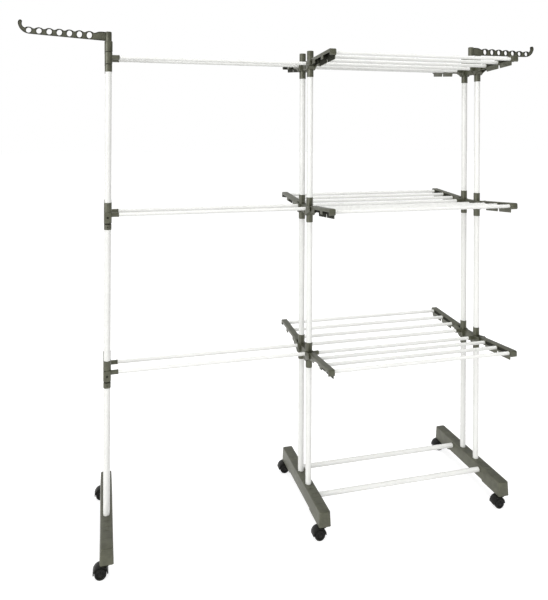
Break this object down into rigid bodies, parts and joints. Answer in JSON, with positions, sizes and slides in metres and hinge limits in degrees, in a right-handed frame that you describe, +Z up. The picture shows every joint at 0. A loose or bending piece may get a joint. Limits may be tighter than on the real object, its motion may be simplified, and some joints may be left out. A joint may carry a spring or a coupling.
{
  "type": "modular clothes drying rack",
  "caption": "Rolling clothes drying tower with folding rod wings on three tiers, an open extension bay beside it and a swivelling hanger arm at each end.",
  "frame": {"origin": "on the floor, midway between the tips of the two hanger arms and midway between the front and rear wings", "axes": "+X runs along the rack from the open extension to the tower with the wings, -Y is the front, +Z is up"},
  "size_m": [1.9761, 0.5652, 1.7342],
  "materials": {
    "white_enamel": "glossy white enamel on thin steel tube",
    "grey_plastic": "satin moulded plastic, dark olive grey",
    "caster_black": "satin black nylon"
  },
  "bodies": {
    "frame": {"base_front_rod": "white_enamel", "base_rear_rod": "white_enamel", "extension_bottom_front_rod": "white_enamel", "extension_bottom_rear_rod": "white_enamel", "extension_middle_front_rod": "white_enamel", "extension_middle_rear_rod": "white_enamel", "extension_top_front_rod": "white_enamel", "extension_top_rear_rod": "white_enamel", "left_bottom_connector": "grey_plastic", "left_foot": "grey_plastic", "left_front_post": "white_enamel", "left_middle_connector": "grey_plastic", "left_rear_post": "white_enamel", "left_top_connector": "grey_plastic", "mid_bottom_connector": "grey_plastic", "mid_foot": "grey_plastic", "mid_front_post": "white_enamel", "mid_middle_connector": "grey_plastic", "mid_rear_post": "white_enamel", "mid_top_connector": "grey_plastic", "right_bottom_connector": "grey_plastic", "right_foot": "grey_plastic", "right_front_post": "white_enamel", "right_middle_connector": "grey_plastic", "right_rear_post": "white_enamel", "right_top_connector": "grey_plastic", "tower_bottom_front_rod": "white_enamel", "tower_bottom_rear_rod": "white_enamel", "tower_middle_front_rod": "white_enamel", "tower_middle_rear_rod": "white_enamel", "tower_top_front_rod": "white_enamel", "tower_top_rear_rod": "white_enamel"},
    "front_bottom_wing": {"front_bottom_wing_rods": "white_enamel", "front_bottom_wing_arm": "grey_plastic"},
    "rear_bottom_wing": {"rear_bottom_wing_rods": "white_enamel", "rear_bottom_wing_arm": "grey_plastic"},
    "front_middle_wing": {"front_middle_wing_rods": "white_enamel", "front_middle_wing_arm": "grey_plastic"},
    "rear_middle_wing": {"rear_middle_wing_rods": "white_enamel", "rear_middle_wing_arm": "grey_plastic"},
    "front_top_wing": {"front_top_wing_rods": "white_enamel", "front_top_wing_arm": "grey_plastic"},
    "rear_top_wing": {"rear_top_wing_rods": "white_enamel", "rear_top_wing_arm": "grey_plastic"},
    "left_front_caster": {"left_front_caster_hood": "caster_black"},
    "left_front_wheels": {"left_front_caster_wheels": "caster_black"},
    "left_rear_caster": {"left_rear_caster_hood": "caster_black"},
    "left_rear_wheels": {"left_rear_caster_wheels": "caster_black"},
    "mid_front_caster": {"mid_front_caster_hood": "caster_black"},
    "mid_front_wheels": {"mid_front_caster_wheels": "caster_black"},
    "mid_rear_caster": {"mid_rear_caster_hood": "caster_black"},
    "mid_rear_wheels": {"mid_rear_caster_wheels": "caster_black"},
    "right_front_caster": {"right_front_caster_hood": "caster_black"},
    "right_front_wheels": {"right_front_caster_wheels": "caster_black"},
    "right_rear_caster": {"right_rear_caster_hood": "caster_black"},
    "right_rear_wheels": {"right_rear_caster_wheels": "caster_black"},
    "left_hanger": {"left_hanger_arm": "grey_plastic"},
    "right_hanger": {"right_hanger_arm": "grey_plastic"}
  },
  "joints": [
    {"name": "front_bottom_wing_fold", "type": "hinge", "parent": "frame", "child": "front_bottom_wing", "pos_m": [0.009, -0.079, 0.5655], "axis": [1, 0, 0], "range_deg": [0, 94]},
    {"name": "rear_bottom_wing_fold", "type": "hinge", "parent": "frame", "child": "rear_bottom_wing", "pos_m": [0.009, 0.079, 0.5655], "axis": [-1, 0, 0], "range_deg": [0, 94]},
    {"name": "front_middle_wing_fold", "type": "hinge", "parent": "frame", "child": "front_middle_wing", "pos_m": [0.009, -0.079, 1.0915], "axis": [1, 0, 0], "range_deg": [0, 94]},
    {"name": "rear_middle_wing_fold", "type": "hinge", "parent": "frame", "child": "rear_middle_wing", "pos_m": [0.009, 0.079, 1.0915], "axis": [-1, 0, 0], "range_deg": [0, 94]},
    {"name": "front_top_wing_fold", "type": "hinge", "parent": "frame", "child": "front_top_wing", "pos_m": [0.009, -0.079, 1.6175], "axis": [1, 0, 0], "range_deg": [0, 94]},
    {"name": "rear_top_wing_fold", "type": "hinge", "parent": "frame", "child": "rear_top_wing", "pos_m": [0.009, 0.079, 1.6175], "axis": [-1, 0, 0], "range_deg": [0, 94]},
    {"name": "left_front_caster_swivel", "type": "hinge", "parent": "frame", "child": "left_front_caster", "pos_m": [-0.699, -0.2115, 0.043], "axis": [0, 0, 1], "continuous": true},
    {"name": "left_front_wheels_spin", "type": "hinge", "parent": "left_front_caster", "child": "left_front_wheels", "pos_m": [-0.717, -0.2115, 0.0185], "axis": [0, 1, 0], "continuous": true},
    {"name": "left_rear_caster_swivel", "type": "hinge", "parent": "frame", "child": "left_rear_caster", "pos_m": [-0.699, 0.2115, 0.043], "axis": [0, 0, 1], "continuous": true},
    {"name": "left_rear_wheels_spin", "type": "hinge", "parent": "left_rear_caster", "child": "left_rear_wheels", "pos_m": [-0.717, 0.2115, 0.0185], "axis": [0, 1, 0], "continuous": true},
    {"name": "mid_front_caster_swivel", "type": "hinge", "parent": "frame", "child": "mid_front_caster", "pos_m": [0.009, -0.2115, 0.043], "axis": [0, 0, 1], "continuous": true},
    {"name": "mid_front_wheels_spin", "type": "hinge", "parent": "mid_front_caster", "child": "mid_front_wheels", "pos_m": [-0.009, -0.2115, 0.0185], "axis": [0, 1, 0], "continuous": true},
    {"name": "mid_rear_caster_swivel", "type": "hinge", "parent": "frame", "child": "mid_rear_caster", "pos_m": [0.009, 0.2115, 0.043], "axis": [0, 0, 1], "continuous": true},
    {"name": "mid_rear_wheels_spin", "type": "hinge", "parent": "mid_rear_caster", "child": "mid_rear_wheels", "pos_m": [-0.009, 0.2115, 0.0185], "axis": [0, 1, 0], "continuous": true},
    {"name": "right_front_caster_swivel", "type": "hinge", "parent": "frame", "child": "right_front_caster", "pos_m": [0.699, -0.2115, 0.043], "axis": [0, 0, 1], "continuous": true},
    {"name": "right_front_wheels_spin", "type": "hinge", "parent": "right_front_caster", "child": "right_front_wheels", "pos_m": [0.681, -0.2115, 0.0185], "axis": [0, 1, 0], "continuous": true},
    {"name": "right_rear_caster_swivel", "type": "hinge", "parent": "frame", "child": "right_rear_caster", "pos_m": [0.699, 0.2115, 0.043], "axis": [0, 0, 1], "continuous": true},
    {"name": "right_rear_wheels_spin", "type": "hinge", "parent": "right_rear_caster", "child": "right_rear_wheels", "pos_m": [0.681, 0.2115, 0.0185], "axis": [0, 1, 0], "continuous": true},
    {"name": "left_hanger_swivel", "type": "hinge", "parent": "frame", "child": "left_hanger", "pos_m": [-0.699, 0, 1.668], "axis": [0, 0, 1], "range_deg": [-90, 90]},
    {"name": "right_hanger_swivel", "type": "hinge", "parent": "frame", "child": "right_hanger", "pos_m": [0.699, 0, 1.668], "axis": [0, 0, 1], "range_deg": [-90, 90]}
  ]
}
